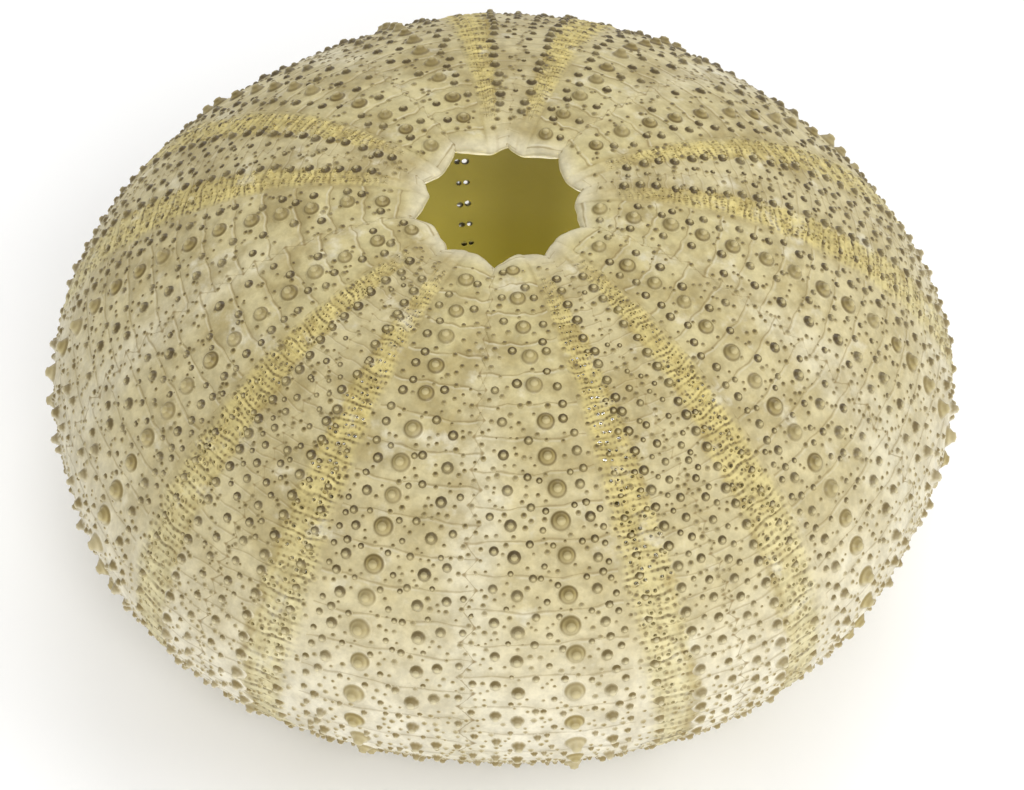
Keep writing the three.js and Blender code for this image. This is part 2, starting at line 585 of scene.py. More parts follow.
def bendSheetTree(placeTree):
    tree, given, made = newTree("bendSheet", pieceSockets, [("Geometry", "NodeSocketGeometry")])
    inputs = {"Geometry": given["Geometry"], "Position": placedGroup(tree, given, placeTree)[0]}
    endTree(tree, newNode(tree, "GeometryNodeSetPosition", inputs).outputs[0], given, made)
    return tree


def namedValue(tree, label):
    node = newNode(tree, "GeometryNodeInputNamedAttribute", {"Name": label}, data_type="FLOAT")
    return Value(node.outputs["Attribute"])


def setTuberclesTree(placeTree):
    # a tubercle on every point, standing square on the wall, as wide and as high as the point says
    extra = [("Tubercle", "NodeSocketObject")]
    extra += [(label, "NodeSocketFloat") for label in ("Size", "Rest Height")]
    tree, given, made = newTree("setTubercles", pieceSockets + extra, [("Geometry", "NodeSocketGeometry")])
    position, normal, down = placedGroup(tree, given, placeTree)
    capture = newNode(tree, "GeometryNodeCaptureAttribute", {"Geometry": given["Geometry"]})
    for label, value in (("outward", normal), ("down", down), ("foot", position)):
        capture.capture_items.new("VECTOR", label)
        setInputs(capture, {label: value})
    kept = capture.outputs
    move = newNode(tree, "GeometryNodeSetPosition", {"Geometry": kept["Geometry"], "Position": position})
    stand = newNode(tree, "FunctionNodeAlignRotationToVector", {"Vector": kept["outward"]}, axis="Z")
    shape = newNode(tree, "GeometryNodeObjectInfo", {"Object": given["Tubercle"]})
    width = namedValue(tree, "width") * given["Size"]
    inputs = {
        "Points": move.outputs[0],
        "Instance": shape.outputs["Geometry"],
        "Rotation": stand.outputs[0],
        "Scale": joinVector(width, width, width * namedValue(tree, "rise")),
    }
    instance = newNode(tree, "GeometryNodeInstanceOnPoints", inputs)
    realize = newNode(tree, "GeometryNodeRealizeInstances", {0: instance.outputs[0]})
    # worn flat where it would reach below the table
    x, y, z = splitVector(positionNode(tree))
    spot = joinVector(x, y, mathNode("MAXIMUM", z, given["Rest Height"]))
    clear = newNode(tree, "GeometryNodeSetPosition", {"Geometry": realize.outputs[0], "Position": spot})
    # lean is -0.5 on the side towards the crown and 0.5 on the other
    inputs = {0: positionNode(tree), 1: kept["foot"]}
    fromFoot = newNode(tree, "ShaderNodeVectorMath", inputs, operation="SUBTRACT")
    inputs = {0: fromFoot.outputs[0], 1: kept["down"]}
    below = newNode(tree, "ShaderNodeVectorMath", inputs, operation="DOT_PRODUCT")
    lean = Value(below.outputs["Value"]) / namedValue(tree, "width")
    store = newNode(tree, "GeometryNodeStoreNamedAttribute", {"Name": "lean"}, data_type="FLOAT")
    setInputs(store, {"Geometry": clear.outputs[0], "Value": lean})
    endTree(tree, store.outputs[0], given, made)
    return tree


placeTree = placeOnShellTree()
bendTree = bendSheetTree(placeTree)
tubercleTree = setTuberclesTree(placeTree)
outlineObject = profileObject()
print("node trees: bendSheet and setTubercles are built")


def builtPiece(name, flatMesh, tree, material, values, sharpAngle):
    # runs the tree on the flat mesh once and keeps the plain mesh it gives
    helper = addObject(name + "Flat", flatMesh)
    modifier = helper.modifiers.new(tree.name, "NODES")
    modifier.node_group = tree
    settings = {"Outline": outlineObject, "Finish": material, **shellInputs, **values}
    for item in tree.interface.items_tree:
        if item.in_out == "INPUT" and item.name in settings:
            modifier[item.identifier] = settings[item.name]
    helper.update_tag()
    bpy.context.view_layer.update()
    graph = bpy.context.evaluated_depsgraph_get()
    made = helper.evaluated_get(graph)
    mesh = bpy.data.meshes.new_from_object(made, preserve_all_data_layers=True, depsgraph=graph)
    mesh.name = name
    helper.modifiers.remove(modifier)
    bpy.data.objects.remove(helper)
    mesh.polygons.foreach_set("use_smooth", np.ones(len(mesh.polygons), bool))
    mesh.set_sharp_from_angle(angle=sharpAngle)
    print("piece:", name, sum(len(p.vertices) - 2 for p in mesh.polygons), "triangles")
    return addObject(name, mesh)


tubercleShapes = {
    # sides, and for each ring its radius, height and place on the way from foot (0) to tip (1); one unit wide
    "primary": {
        "sides": 12,
        "rings": [
            (0.66, -0.10, 0.0), (0.57, 0.015, 0.08), (0.49, 0.03, 0.3),
            (0.38, 0.15, 0.5), (0.24, 0.28, 0.66), (0.21, 0.38, 0.86),
        ],
        "tip": 0.43,
    },
    "secondary": {
        "sides": 8,
        "rings": [
            (0.58, -0.10, 0.0), (0.50, 0.02, 0.2), (0.38, 0.13, 0.42),
            (0.27, 0.23, 0.66), (0.23, 0.31, 0.84),
        ],
        "tip": 0.37,
    },
    "grain": {"sides": 6, "rings": [(0.58, -0.08, 0.05), (0.40, 0.10, 0.4)], "tip": 0.22},
}


def tubercleObject(name, sides, rings, tip):
    points, run = [], []
    for radius, height, way in rings:
        for step in range(sides):
            angle = 2 * math.pi * step / sides
            points.append((radius * math.cos(angle), radius * math.sin(angle), height))
            run.append(way)
    points.append((0, 0, tip))
    run.append(1.0)
    faces = [tuple(reversed(range(sides)))]
    for first in range(0, (len(rings) - 1) * sides, sides):
        for step in range(sides):
            a, b = first + step, first + (step + 1) % sides
            faces.append((a, b, b + sides, a + sides))
    last = (len(rings) - 1) * sides
    faces += [(last + step, last + (step + 1) % sides, len(points) - 1) for step in range(sides)]
    mesh = bpy.data.meshes.new(name)
    mesh.from_pydata(points, [], faces)
    addAttribute(mesh, "run", run)
    addAttribute(mesh, "spot", [(x, y, 0) for x, y, z in points])
    return addObject(name, mesh)


def newSlot(across, width, drop=0.0, start=0.8, stop=99, chance=1.0, side=None, kind="secondary"):
    # where one tubercle of each plate stands: across is degrees from the middle of the field or ray, width is
    # in mm, drop is plates below the plate's centre. Each is a number, or where it changes along the wall,
    # (mm from the crown, value) pairs. start and stop are mm from the crown
    where = {"across": across, "drop": drop, "start": start, "stop": stop, "side": side}
    return {**where, "width": width, "chance": chance, "kind": kind}


fieldSlots = [
    newSlot(
        [(2, 13), (5, 11.8), (13, 12.7), (20, 13.8), (28, 14.2)],
        [(2, 1.35), (19, 1.6), (33, 1.7), (45, 1.95), (55, 1.6), (68, 0.9)],
        kind="primary",
    ),
    newSlot(
        [(5, 18.3), (14, 17.9), (17, 18.6)],
        [(5, 0.8), (18, 0.9), (33, 1.05), (45, 1.3), (60, 0.9)],
        start=4,
    ),
    newSlot(
        [(5, 16.2), (14, 16.4), (17, 19.3)],
        [(5, 0.85), (20, 0.8), (45, 0.9), (68, 0.6)],
        drop=[(5, -0.35), (17, -0.5)],
        start=3,
    ),
    newSlot(
        [(14, 3.5), (19, 5), (25, 5.8), (30, 6.7)],
        [(14, 0.8), (20, 1.1), (31, 1.25), (45, 1.4), (60, 0.9)],
        start=13,
    ),
    newSlot(
        [(3, 5.3), (8, 5.6), (10.5, 7.2), (13.5, 8), (19.5, 9.8), (26, 9)],
        [(3, 0.8), (13, 0.95), (24, 0.8), (45, 0.75)],
        drop=[(3, 0), (8, -0.1), (12, -0.28), (25, -0.42)],
        start=2,
    ),
    newSlot(
        [(25, 2.6), (28, 3.5), (45, 3.9)],
        [(25, 0.7), (30, 0.95), (45, 1.1), (60, 0.8)],
        drop=-0.2,
        start=24,
    ),
    newSlot(0.9, [(33, 0.65), (45, 0.8)], drop=-0.3, start=32, chance=0.7),
    newSlot([(20, 11.2), (32, 12.6)], [(20, 0.62), (45, 0.72)], drop=-0.32, start=19),
    newSlot(11, 0.65, drop=0.2, start=26),
    newSlot(10, 0.58, drop=-0.42, start=31),
    newSlot(5.6, 0.55, drop=0.43, start=29),
    newSlot([(24, 17), (45, 16.3)], 0.62, drop=-0.42, start=20),
    newSlot(20.6, [(24, 0.62), (45, 0.75)], drop=-0.25, start=24),
    newSlot(20.8, [(24, 0.62), (45, 0.75)], drop=0.25, start=24),
]
raySlots = [
    newSlot(
        [(4, 5), (8, 6.3), (45, 5.9)],
        [(4, 0.95), (20, 1.0), (33, 1.05), (41, 1.15), (45, 1.35), (55, 1.1), (68, 0.7)],
        start=2,
        kind="primary",
    ),
    newSlot(2.0, [(15, 0.68), (24, 0.8), (45, 1.0), (60, 0.7)], start=15, side=-1),
    newSlot(1.8, [(15, 0.6), (26, 0.85), (45, 1.0), (60, 0.7)], drop=0.05, start=22, side=1),
    newSlot(3.3, [(15, 0.55), (45, 0.68)], drop=-0.45, start=16, side=1),
    newSlot(3.8, [(15, 0.52), (45, 0.62)], drop=-0.35, start=18, side=-1),
    newSlot(11.4, [(22, 0.6), (28, 0.9), (45, 1.05), (60, 0.8)], drop=-0.02, start=21),
    newSlot(7.6, 0.72, start=8, stop=27, chance=0.75),
    newSlot(7.2, 0.55, start=27, chance=0.8),
    newSlot(1.4, 0.5, start=4, stop=20, chance=0.55),
]
belts = [
    # where they are, slots, plates, (side, first row) pairs, how far across the grains go
    (fieldTurns, fieldSlots, fieldRows, ((1, 0.0), (-1, 0.5)), fieldEdge - 0.4),
    (rayTurns, raySlots, rayRows, ((-1, 0.0), (1, 0.5)), rayEdge - 0.5),
]
scatter = {
    "jitterAcross": 0.132 * mm,
    "jitterAlong": 0.10 * mm,
    "missing": 0.03,
    "slotGap": 0.82,  # how near they may stand, as a part of their widths
    "grainGap": 1.18,
    "grainTries": 5000,  # tries for a grain in each field and ray
    "grainWidth": (0.34, 0.66),
    "band": (6.6, 13.4),  # the pored bands, in degrees, where grains are fewer
    "cell": 2 * mm,
    "seed": 23,
}


class Crowd:
    # the tubercles of one field or ray, which keep apart
    def __init__(self, turn, plates, zone, rng):
        self.turn = turn
        self.plates = plates
        self.zone = zone
        self.rng = rng
        self.cells = {}
        self.found = []

    def spot(self, across, along):
        x = math.radians(self.turn + across) * radiusAt(along)
        return x, along, int(x // scatter["cell"]), int(along // scatter["cell"])

    def fits(self, across, along, width, gap):
        x, y, column, line = self.spot(across, along)
        for dx in (-1, 0, 1):
            for dy in (-1, 0, 1):
                for otherX, otherY, other in self.cells.get((column + dx, line + dy), ()):
                    if math.hypot(x - otherX, y - otherY) < 0.5 * (width + other) * gap:
                        return False
        return True

    def add(self, kind, across, along, width, tone):
        x, y, column, line = self.spot(across, along)
        self.cells.setdefault((column, line), []).append((x, y, width))
        made = {"kind": kind, "angle": self.turn + across, "across": across, "along": along, "width": width}
        made.update(row=self.plates.rowOf(along), tone=tone, zone=self.zone)
        self.found.append(made)


def slotValue(slot, key, along):
    value = slot[key]
    if isinstance(value, list):
        return float(np.interp(along / mm, [p[0] for p in value], [p[1] for p in value]))
    return value


def setBySlots(crowd, slots, side, firstRow):
    plates, rng = crowd.plates, crowd.rng
    for slot in slots:
        if slot["side"] not in (None, side):
            continue
        primary = slot["kind"] == "primary"
        for row in np.arange(firstRow, plates.rowOf(wallLength - 1.0 * mm)):
            at = row + slotValue(slot, "drop", plates.alongOf(row))
            along = plates.alongOf(at) + rng.normal(0, scatter["jitterAlong"])
            started = slot["start"] * mm <= along <= slot["stop"] * mm
            chance = slot["chance"] - scatter["missing"] * (not primary)
            chanceDrawn, widthDrawn, tone, _ = rng.random(4)
            if not started or chanceDrawn > chance or at < plates.rowOf(0.9 * mm):
                continue
            along += float(wander(crowd.turn + side * slotValue(slot, "across", along), along))
            jitter = math.degrees(rng.normal(0, scatter["jitterAcross"]) / radiusAt(along))
            across = side * slotValue(slot, "across", along) + jitter
            width = slotValue(slot, "width", along) * mm * (0.92 + 0.16 * widthDrawn)
            if primary or crowd.fits(across, along, width, scatter["slotGap"]):
                crowd.add(slot["kind"], across, along, width, tone)


def setGrains(crowd, edge):
    rng = crowd.rng
    bandFrom, bandTo = scatter["band"]
    for _ in range(scatter["grainTries"]):
        along = rng.uniform(2 * mm, wallLength - 1 * mm)
        across = rng.uniform(-edge, edge)
        chance = radiusAt(along) / shellShape["equatorRadius"] * (0.55 + 0.45 * soft(along, 8 * mm, 34 * mm))
        width = rng.uniform(*scatter["grainWidth"]) * mm
        if crowd.zone and bandFrom < abs(across) < bandTo:
            chance *= 0.4
        if rng.random() <= chance and crowd.fits(across, along, width, scatter["grainGap"]):
            crowd.add("grain", across, along, width, rng.random())


def allTubercles():
    rng = np.random.default_rng(scatter["seed"])
    found = []
    for zone, (turns, slots, plates, sides, edge) in enumerate(belts):
        for turn in turns:
            crowd = Crowd(turn, plates, zone, rng)
            for side, firstRow in sides:
                setBySlots(crowd, slots, side, firstRow)
            setGrains(crowd, edge)
            found += crowd.found
    return found


def pointsMesh(name, found):
    keys = ("angle", "across", "along", "row", "width", "tone", "zone")
    angle, across, along, row, width, tone, zone = [np.array([f[key] for f in found]) for key in keys]
    lift = (rayLift if zone[0] else fieldLift)(across, row, along)
    mesh = bpy.data.meshes.new(name)
    mesh.vertices.add(len(found))
    mesh.vertices.foreach_set("co", flatPoints(0, angle, along, lift).astype(np.float32).ravel())
    grown = 0.08 if found[0]["kind"] == "primary" else 0.5
    rise = (0.8 + 0.35 * tone) * (1 + grown * soft(along, 34 * mm, 47 * mm))
    place = np.stack([across, row, along / mm], axis=-1)
    for label, values in (("width", width), ("rise", rise), ("tone", tone), ("zone", zone), ("place", place)):
        addAttribute(mesh, label, values)
    return mesh


# finishes


def newMaterial(name):
    material = bpy.data.materials.new(name)
    material.use_nodes = True
    return material, material.node_tree, material.node_tree.nodes["Principled BSDF"]


def attribute(tree, label, output="Fac"):
    return Value(newNode(tree, "ShaderNodeAttribute", {}, attribute_name=label).outputs[output])


def objectPoint(tree):
    return Value(tree.nodes.new("ShaderNodeTexCoord").outputs["Object"])


def noise(point, scale, detail=3.0, roughness=0.55):
    inputs = {"Vector": point, "Scale": scale, "Detail": detail, "Roughness": roughness}
    return Value(newNode(point.tree, "ShaderNodeTexNoise", inputs).outputs[0])


def ramp(value, low, high, toLow=0.0, toHigh=1.0):
    inputs = {"Value": value, "From Min": low, "From Max": high, "To Min": toLow, "To Max": toHigh}
    node = newNode(value.tree, "ShaderNodeMapRange", inputs, interpolation_type="SMOOTHSTEP")
    return Value(node.outputs["Result"])


def mixed(factor, first, second, blend="MIX"):
    tree = (factor if isinstance(factor, Value) else first).tree
    inputs = {0: factor, 6: first, 7: second}  # the colour sockets of the mix node
    return Value(newNode(tree, "ShaderNodeMix", inputs, data_type="RGBA", blend_type=blend).outputs[2])


def colour(red, green, blue):
    # a colour as read off a screen, made linear
    straight = [c / 255 for c in (red, green, blue)]
    return tuple(c / 12.92 if c <= 0.04045 else ((c + 0.055) / 1.055) ** 2.4 for c in straight) + (1.0,)


limeLook = {
    "crown": colour(190, 178, 128),  # creamy yellow round the top opening
    "side": colour(196, 184, 142),
    "equator": colour(229, 223, 203),
    "middle": colour(214, 207, 181),  # paler strip down the middle of each field
    "band": colour(206, 190, 122),  # yellow of the pored bands
    "bandLow": colour(212, 202, 158),
    "groove": colour(146, 125, 66),
    "pit": colour(84, 66, 20),
    "rayMiddle": colour(188, 176, 134),
    "seam": colour(126, 106, 60),
    "stain": colour(150, 133, 82),
    "chalk": colour(218, 212, 188),
    "inside": colour(112, 101, 14),
    # the hollow where painted light comes through the wall
    "insideLitThrough": colour(138, 127, 44),
    "noduleColumn": 0.95,  # degrees between the columns of nodules in a pored band
    "nodulesInPlate": 3,
    # scale, detail and roughness of the noises
    "blotch": (130.0,),
    "bandEdge": (420.0,),
    "push": (480.0, 2.0),
    "breaks": (760.0, 2.0),
    "dirt": (560.0,),
    "meeting": (300.0,),
    "border": (380.0,),
    "stains": (210.0, 5.0, 0.65),
    "chalks": (330.0, 4.0, 0.6),
    "grain": (900.0, 3.0, 0.7),
    # ramps: from, to, value at from, value at to. Along the wall in mm from the crown
    "crownToSide": (2.0, 30.0),
    "sideToEquator": (31.0, 52.0),
    "middleAlong": (8.0, 30.0, 0.1, 0.6),
    "bandToLow": (20.0, 46.0),
    "bandOuterSide": (30.0, 52.0, 13.6, 11.6),  # degrees from the middle of the ray
    "bandFadeIn": (1.0, 7.0, 0.0, 0.9),
    "pitDepth": (46.0, 26.0, 0.55, 0.8),
    "dirtAlong": (20.0, 4.0, 0.3, 0.65),
    "rayTint": (44.0, 12.0, 0.0, 0.75),
    "meetingAlong": (38.0, 8.0, 0.15, 0.6),
    "stainAlong": (51.0, 14.0, 0.25, 0.74),
    # painted highlight along the rim of the top opening, in the chalk colour
    "rimHighlight": (2.2, 0.1, 0.0, 0.5),
}


def wholeDistance(value):
    return abs(value - mathNode("ROUND", value))


def wavesOf(turns):
    return mathNode("COSINE", turns * (2 * math.pi)) * 0.5 + 0.5


def baseLime(place, zone, point):
    # the colour of the lime at a place on the wall, without its seams, and how deep it is pitted
    look = limeLook
    across, row, along = splitVector(place)
    off = abs(across)
    base = mixed(ramp(along, *look["crownToSide"]), look["crown"], look["side"])
    base = mixed(ramp(along, *look["sideToEquator"]), base, look["equator"])
    blotch = (noise(point, *look["blotch"]) - 0.5) * 5.0
    pale = ramp(off + blotch, 7.0, 1.0) * ramp(along, *look["middleAlong"])
    field = mixed(pale, base, look["middle"])
    ragged = off + (noise(point, *look["bandEdge"]) - 0.5) * 3.4
    outer = 1.0 - ramp(ragged - ramp(along, *look["bandOuterSide"]), -1.2, 1.2)
    band = ramp(ragged, 5.4, 7.4) * outer * ramp(along, *look["bandFadeIn"])
    # rows and columns of pits between the nodules, pushed about by noise; the pits are painted dark, as
    # painted shade in the pores
    push = noise(point, *look["push"]) - 0.5
    rowWave = wavesOf((push * 0.34 + row) * float(look["nodulesInPlate"]))
    columnWave = wavesOf((push * -1.1 + off) / look["noduleColumn"])
    broken = ramp(noise(point, *look["breaks"]), 0.34, 0.58, 0.15, 1.0)
    depth = broken * ramp(along, *look["pitDepth"])
    grooves = rowWave**2.0 * depth * 0.75
    # painted shade in the pores: the pits are painted dark
    pits = ramp(rowWave * columnWave, 0.3, 0.75) * depth
    plateGroove = ramp(wholeDistance(push * 0.3 + row), 0.13, 0.02) * broken * 0.55
    dirt = ramp(along, *look["dirtAlong"]) * ramp(noise(point, *look["dirt"]), 0.46, 0.64)
    bandColour = mixed(ramp(along, *look["bandToLow"]), look["band"], look["bandLow"])
    for part, key in ((grooves, "groove"), (plateGroove, "pit"), (pits, "pit"), (dirt, "groove")):
        bandColour = mixed(part, bandColour, look[key])
    rayBase = mixed(ramp(along, *look["rayTint"]) * ramp(off, 14.0, 12.0), base, look["rayMiddle"])
    ray = mixed(band, rayBase, bandColour)
    # a dark line where a field meets a ray
    meeting = ramp(noise(point, *look["meeting"]), 0.38, 0.62, 0.1, 1.0) * ramp(along, *look["meetingAlong"])
    field = mixed(ramp(off, fieldEdge - 2.6, fieldEdge) * meeting, field, look["stain"])
    ray = mixed(ramp(off, rayEdge - 1.8, rayEdge) * meeting, ray, look["stain"])
    border = ramp(ragged, 5.6, 6.6) * ramp(ragged, 8.6, 7.0)
    border = border * ramp(noise(point, *look["border"]), 0.42, 0.62, 0.0, 0.55)
    ray = mixed(border, ray, look["groove"])
    tone = mixed(zone, field, ray)
    stain = ramp(noise(point, *look["stains"]), 0.39, 0.67) * ramp(along, *look["stainAlong"])
    tone = mixed(stain * (1.0 - band * zone * 0.65), tone, look["stain"])
    chalk = ramp(noise(point, *look["chalks"]), 0.55, 0.75, 0.0, 0.6)
    # chalky patches, and a painted highlight along the rim of the top opening
    tone = mixed(mathNode("MAXIMUM", chalk, ramp(along, *look["rimHighlight"])), tone, look["chalk"])
    speck = ramp(noise(point, *look["grain"]), 0.3, 0.7, 0.86, 1.08)
    return mixed(1.0, tone, joinVector(speck, speck, speck), "MULTIPLY"), pits * band * zone


wallLook = {
    # seamWidth, seamAlong and hollow are for a field and for a ray
    "rag": (600.0, 3.0, 0.6),  # noise that breaks up the seams
    "seamWidth": (0.045, 0.072),  # in plates
    "cornerWidth": (0.16, 0.5),  # degrees of the middle seam, between the plates' corners and at them
    "middleAlong": (20.0, 40.0, 0.9, 1.6),
    "seamAlong": ((47.0, 5.0, 0.42, 0.65), (47.0, 5.0, 0.42, 0.4)),  # how strong the seams are along the wall
    # painted shade beside the seams, and a painted highlight on the edge below them
    "shadeWidth": 0.24,
    "shade": 0.55,
    "shadeBreaks": 260.0,
    "edgeHighlight": 0.42,
    "hollow": ((10.0, 21.6), (2.0, 10.0)),  # degrees over which the inside grows paler, with painted light let through the wall
    "hollowBlotch": 90.0,
    "relief": (1400.0, 3.0, 0.6),
    "seamRelief": -1.2,
    "pitRelief": -1.4,
    "bump": 0.35,
    "bumpDepth": 0.05 * mm,
    "roughness": 0.62,
    "specular": 0.4,
}


def seamLine(distance, width, rag):
    # 1 on a seam; the line is broken up by rag
    return mathNode("SUBTRACT", 1.0, distance / (rag * width), clamp=True)


def wallMaterial(name, sheet, zone):
    look = wallLook
    seamWidth, seamAlong, hollow = [look[key][zone] for key in ("seamWidth", "seamAlong", "hollow")]
    material, tree, shader = newMaterial(name)
    place = attribute(tree, "place", "Vector")
    point = objectPoint(tree)
    across, row, along = splitVector(place)
    tone, pits = baseLime(place, float(zone), point)
    rag = ramp(noise(point, *look["rag"]), 0.35, 0.65, 0.35, 1.3)
    swing = (wholeDistance(row) * 4.0 - 1.0) * sheet["zigzag"]
    fromMiddle = across + swing
    rightSide = mathNode("GREATER_THAN", fromMiddle, 0.0)
    halfStep = 1.0 - rightSide if zone else rightSide
    shifted = halfStep * 0.5 + row
    corner = wholeDistance(row * 2.0)  # 0 at the plates' corners
    cross = seamLine(wholeDistance(shifted), seamWidth, rag)
    middle = seamLine(abs(fromMiddle), ramp(corner, 0.3, 0.0, *look["cornerWidth"]), rag)
    strength = ramp(along, *seamAlong)
    if zone:  # no seams show across the pored bands
        strength = strength * ramp(abs(across), 7.0, 6.0)
    seams = mathNode("MAXIMUM", cross, middle * ramp(along, *look["middleAlong"])) * strength
    # painted shade beside each seam and a painted highlight on the paler edge below it
    shade = ramp(wholeDistance(shifted), look["shadeWidth"], 0.0, 0.0, look["shade"]) * strength
    shade = shade * ramp(noise(point, look["shadeBreaks"]), 0.4, 0.62)
    below = shifted - mathNode("ROUND", shifted)
    pale = ramp(below, 0.03, 0.06) * ramp(below, 0.13, 0.07) * strength * rag * look["edgeHighlight"]
    corners = ramp(corner, 0.16, 0.04) * ramp(abs(fromMiddle), 0.5, 0.1) * 0.6
    # the painted shade takes the stain colour, and the painted highlight takes the chalk colour
    for part, key in ((shade, "stain"), (pale, "chalk"), (seams, "seam"), (corners, "seam")):
        tone = mixed(part, tone, limeLook[key])
    # painted light let through the wall: the hollow is lighter behind the pored bands and down the middle of
    # each field
    inside = attribute(tree, "inside")
    paintedLightThrough = ramp(abs(across), *hollow) * ramp(noise(point, look["hollowBlotch"]), 0.3, 0.7, 0.5, 1.0)
    tone = mixed(inside, tone, mixed(paintedLightThrough, limeLook["inside"], limeLook["insideLitThrough"]))
    outside = 1.0 - inside
    relief = seams * outside * look["seamRelief"] + noise(point, *look["relief"])
    relief = pits * outside * look["pitRelief"] + relief
    inputs = {"Height": relief, "Strength": look["bump"], "Distance": look["bumpDepth"]}
    bump = newNode(tree, "ShaderNodeBump", inputs)
    setInputs(shader, {"Base Color": tone, "Normal": bump.outputs[0]})
    setInputs(shader, {"Roughness": look["roughness"], "Specular IOR Level": look["specular"]})
    return material


tubercleLook = {
    # colours near the crown, and at the equator and below; distances are parts of the tubercle's width
    "primary": {
        "flank": (colour(150, 133, 78), colour(190, 175, 122)),
        "dark": (colour(86, 69, 20), colour(138, 119, 64)),
        "knob": (colour(192, 178, 128), colour(208, 196, 154)),
        "edge": (0.56, 0.44),  # where the lime of the wall gives way to the flank
        "ring": 0.9,  # dark line round the flank
        "allRound": 0.75,  # how dark the side away from the crown is, near the crown; the side towards it takes the full painted shade
        "lowSide": (0.34, -0.12, 0.3),  # low down: where the painted shade of the crown side starts, where it is full, least dark
        "paintedShadeDot": (0.38, 0.16, 0.7),  # painted shade round the knob, lying towards the crown: from, to, how dark
        "knobPart": 0.75,
    },
    "secondary": {
        "flank": (colour(110, 93, 40), colour(184, 169, 122)),
        "dark": (colour(64, 49, 11), colour(130, 112, 64)),
        "knob": (colour(192, 178, 128), colour(224, 215, 182)),
        "edge": (0.54, 0.38),
        "ring": 0.9,
        "allRound": 0.85,
        "lowSide": (0.14, -0.26, 0.12),
        "paintedShadeDot": (0.44, 0.22, 0.9),
        "knobPart": 0.8,
    },
    "grain": {
        "flank": (colour(140, 123, 70), colour(188, 174, 128)),
        "dark": (colour(72, 56, 14), colour(136, 118, 70)),
        "knob": (colour(150, 133, 80), colour(180, 165, 116)),
        "edge": (0.58, 0.32),
        "ring": 0.0,
        "allRound": 0.8,
        "lowSide": (0.2, -0.24, 0.2),
        "paintedShadeDot": (0.44, 0.08, 0.9),
        "knobPart": 0.0,
    },
    "highSide": (0.38, -0.12),  # near the crown: where the painted shade of the crown side starts, where it is full
    "lowered": (26.0, 55.0),  # mm from the crown over which the colours change
    "sideAlong": (26.0, 46.0),
    "allRoundAlong": (14.0, 44.0),
    "ringWidth": 0.10,
    "offset": 0.13,  # how far the painted shade round the knob lies towards the crown
    "roughness": 0.5,
    "specular": 0.4,
    "coat": 0.14,
    "coatRoughness": 0.2,
}


def tubercleMaterial(name, kind):
    shared, look = tubercleLook, tubercleLook[kind]
    material, tree, shader = newMaterial(name)
    place = attribute(tree, "place", "Vector")
    run, tone, lean, zone = [attribute(tree, label) for label in ("run", "tone", "lean", "zone")]
    spotX, spotY, _ = splitVector(attribute(tree, "spot", "Vector"))
    along = splitVector(place)[2]
    lime = baseLime(place, zone, objectPoint(tree))[0]
    lowered = ramp(along, *shared["lowered"])
    flank, dark, knob = [mixed(lowered, *look[key]) for key in ("flank", "dark", "knob")]
    reach = spotX * spotX + spotY * spotY
    off = mathNode("SQRT", reach)
    shift = shared["offset"]
    crownOff = mathNode("SQRT", mathNode("MAXIMUM", lean * (2 * shift) + reach + shift**2, 0.0))
    # painted shade: the side towards the crown takes the tubercle's darker colours, and the side away from
    # the crown keeps the colour of the wall
    fromLow, toLow, leastLow = look["lowSide"]
    shadeFrom = ramp(along, *shared["sideAlong"], shared["highSide"][0], fromLow)
    shadeTo = ramp(along, *shared["sideAlong"], shared["highSide"][1], toLow)
    least = ramp(along, *shared["allRoundAlong"], look["allRound"], leastLow)
    # random wear from tone, times the painted shade by lean
    wearAndPaintedShade = ramp(tone, 0.0, 1.0, 1.0, 0.6) * ramp(lean, shadeFrom, shadeTo, least, 1.0)
    outer, inner = look["edge"]
    body = ramp(off, outer, inner)
    ring = body * ramp(off, inner - shared["ringWidth"], inner) * look["ring"]
    # painted shade round the knob, shifted towards the crown
    dotFrom, dotTo, dotPart = look["paintedShadeDot"]
    paintedShadeDot = ramp(crownOff, dotFrom, dotTo, 0.0, dotPart)
    # partly the knob's own paler colour, partly a painted highlight that is stronger on its side away from
    # the crown
    paleKnobAndHighlight = ramp(run, 0.68, 0.9, 0.0, look["knobPart"]) * ramp(lean, -0.12, 0.06, 0.45, 1.0)
    tint = lime
    for part, over in ((body * wearAndPaintedShade, flank), (ring * wearAndPaintedShade, dark), (paintedShadeDot * wearAndPaintedShade, dark), (paleKnobAndHighlight, knob)):
        tint = mixed(part, tint, over)
    setInputs(shader, {"Base Color": tint, "Roughness": shared["roughness"]})
    setInputs(shader, {"Specular IOR Level": shared["specular"], "Coat Weight": shared["coat"]})
    setInputs(shader, {"Coat Roughness": shared["coatRoughness"]})
    return material


fieldLime = wallMaterial("fieldLime", fieldSheet, 0)
rayLime = wallMaterial("rayLime", raySheet, 1)
primaryLime = tubercleMaterial("primaryLime", "primary")
secondaryLime = tubercleMaterial("secondaryLime", "secondary")
grainLime = tubercleMaterial("grainLime", "grain")
print("finishes: lime, pored lime and tubercles")


# the pieces
sharpAngles = {"wall": 1.05, "tubercle": 1.2}  # edges sharper than this stay sharp, in radians
fieldMesh = wallSheets("fieldWalls", fieldSheet, fieldRows, fieldLift, fieldTurns)
rayMesh = wallSheets("rayWalls", raySheet, rayRows, rayLift, rayTurns)
fieldWalls = builtPiece("fieldWalls", fieldMesh, bendTree, fieldLime, {}, sharpAngles["wall"])
rayWalls = builtPiece("rayWalls", rayMesh, bendTree, rayLime, {}, sharpAngles["wall"])

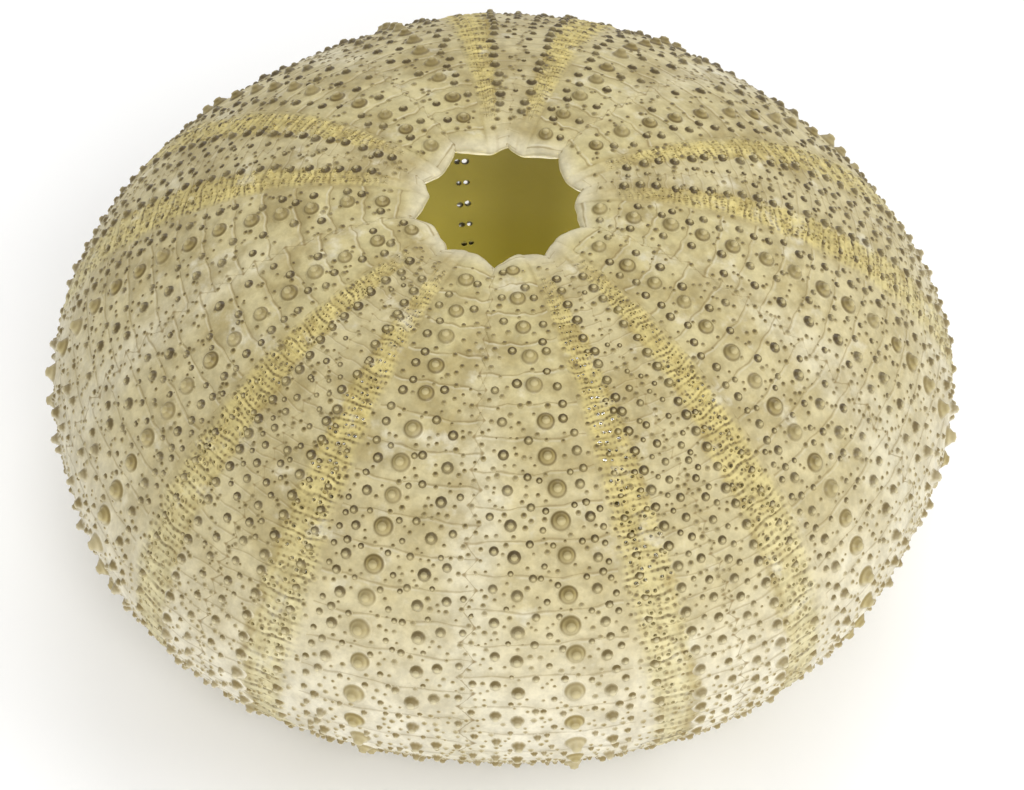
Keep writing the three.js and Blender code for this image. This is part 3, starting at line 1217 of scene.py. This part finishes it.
found = allTubercles()
templates = {kind: tubercleObject(kind + "Shape", **shape) for kind, shape in tubercleShapes.items()}
pieces = [fieldWalls, rayWalls]
for name, kind, zone, finish in (
    ("fieldPrimaries", "primary", 0, primaryLime),
    ("rayPrimaries", "primary", 1, secondaryLime),
    ("fieldSecondaries", "secondary", 0, secondaryLime),
    ("raySecondaries", "secondary", 1, secondaryLime),
    ("fieldGrains", "grain", 0, grainLime),
    ("rayGrains", "grain", 1, grainLime),
):
    chosen = [f for f in found if f["kind"] == kind and f["zone"] == zone]
    values = {"Tubercle": templates[kind], "Size": 1.0, "Rest Height": 0.02 * mm}
    flat = pointsMesh(name, chosen)
    pieces.append(builtPiece(name, flat, tubercleTree, finish, values, sharpAngles["tubercle"]))
for helper in [outlineObject, *templates.values()]:
    bpy.data.objects.remove(helper)

for piece in pieces:
    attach(piece, "root")
for piece in (fieldWalls, rayWalls):
    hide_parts("urchin_shell")
print("pieces: wall, tubercles and grains are in place")


# floor, lights and camera
stage = {
    "floorHalf": 1.6,
    "floor": (0.95, 0.95, 0.95, 1.0),
    "floorRoughness": 0.9,
    "world": (1.0, 1.0, 1.0, 1.0),
    "worldStrength": 0.72,
    "azimuth": 4.47,
    "elevation": 47.2,
    "distance": 1.0,
    "lens": 392.8,
    "clipStart": 0.01,
    "middle": Vector((0.0, 0.0, 0.0184)),
    "lookRight": 0.97 * mm,
    "lookDown": 0.98 * mm,
    "lightAim": Vector((0, 0, 0.02)),
    "lights": [
        # name, azimuth, elevation, distance, size, watts
        ("front", 12, 36, 0.9, 0.5, 3.5),
        ("right", 80, 34, 0.9, 0.6, 1.8),
        ("left", -95, 30, 0.9, 0.6, 0.2),
        ("back", 175, 42, 1.0, 0.8, 3.1),
    ],
    "glow": {"size": 3 * mm, "height": 17 * mm, "watts": 0.045},  # light let through the thin wall
}


def onSphere(azimuth, elevation, distance, centre):
    a, e = math.radians(azimuth), math.radians(elevation)
    way = Vector((math.sin(a) * math.cos(e), -math.cos(a) * math.cos(e), math.sin(e)))
    return centre + way * distance


def pointAt(obj, target):
    obj.rotation_euler = (target - obj.location).to_track_quat("-Z", "Y").to_euler()


def makeFloor():
    half = stage["floorHalf"]
    mesh = bpy.data.meshes.new("floor")
    corners = [(-half, -half, 0), (half, -half, 0), (half, half, 0), (-half, half, 0)]
    mesh.from_pydata(corners, [], [(0, 1, 2, 3)])
    material, _, shader = newMaterial("floorPale")
    setInputs(shader, {"Base Color": stage["floor"], "Roughness": stage["floorRoughness"]})
    mesh.materials.append(material)
    addObject("floor", mesh)


def makeLights():
    world = bpy.data.worlds.new("world")
    bpy.context.scene.world = world
    world.use_nodes = True
    background = world.node_tree.nodes["Background"]
    setInputs(background, {"Color": stage["world"], "Strength": stage["worldStrength"]})
    for name, azimuth, elevation, distance, size, watts in stage["lights"]:
        light = bpy.data.lights.new(name, "AREA")
        light.shape = "DISK"
        light.size = size
        light.energy = watts
        lamp = addObject(name, light)
        lamp.location = onSphere(azimuth, elevation, distance, stage["lightAim"])
        pointAt(lamp, stage["lightAim"])
    glow = bpy.data.lights.new("glow", "POINT")
    glow.shadow_soft_size = stage["glow"]["size"]
    glow.energy = stage["glow"]["watts"]
    lamp = addObject("glow", glow)
    lamp.visible_camera = False
    lamp.location.z = stage["glow"]["height"]


def makeCamera():
    camera = bpy.data.cameras.new("camera")
    camera.lens = stage["lens"]
    camera.clip_start = stage["clipStart"]
    eye = addObject("camera", camera)
    eye.location = onSphere(stage["azimuth"], stage["elevation"], stage["distance"], stage["middle"])
    pointAt(eye, stage["middle"])
    turned = eye.rotation_euler.to_matrix()
    eye.location += turned @ Vector((stage["lookRight"], -stage["lookDown"], 0))
    bpy.context.scene.camera = eye


makeFloor()
makeLights()
makeCamera()
bpy.context.scene.view_settings.view_transform = "Standard"
print("stage: floor, lights and camera")
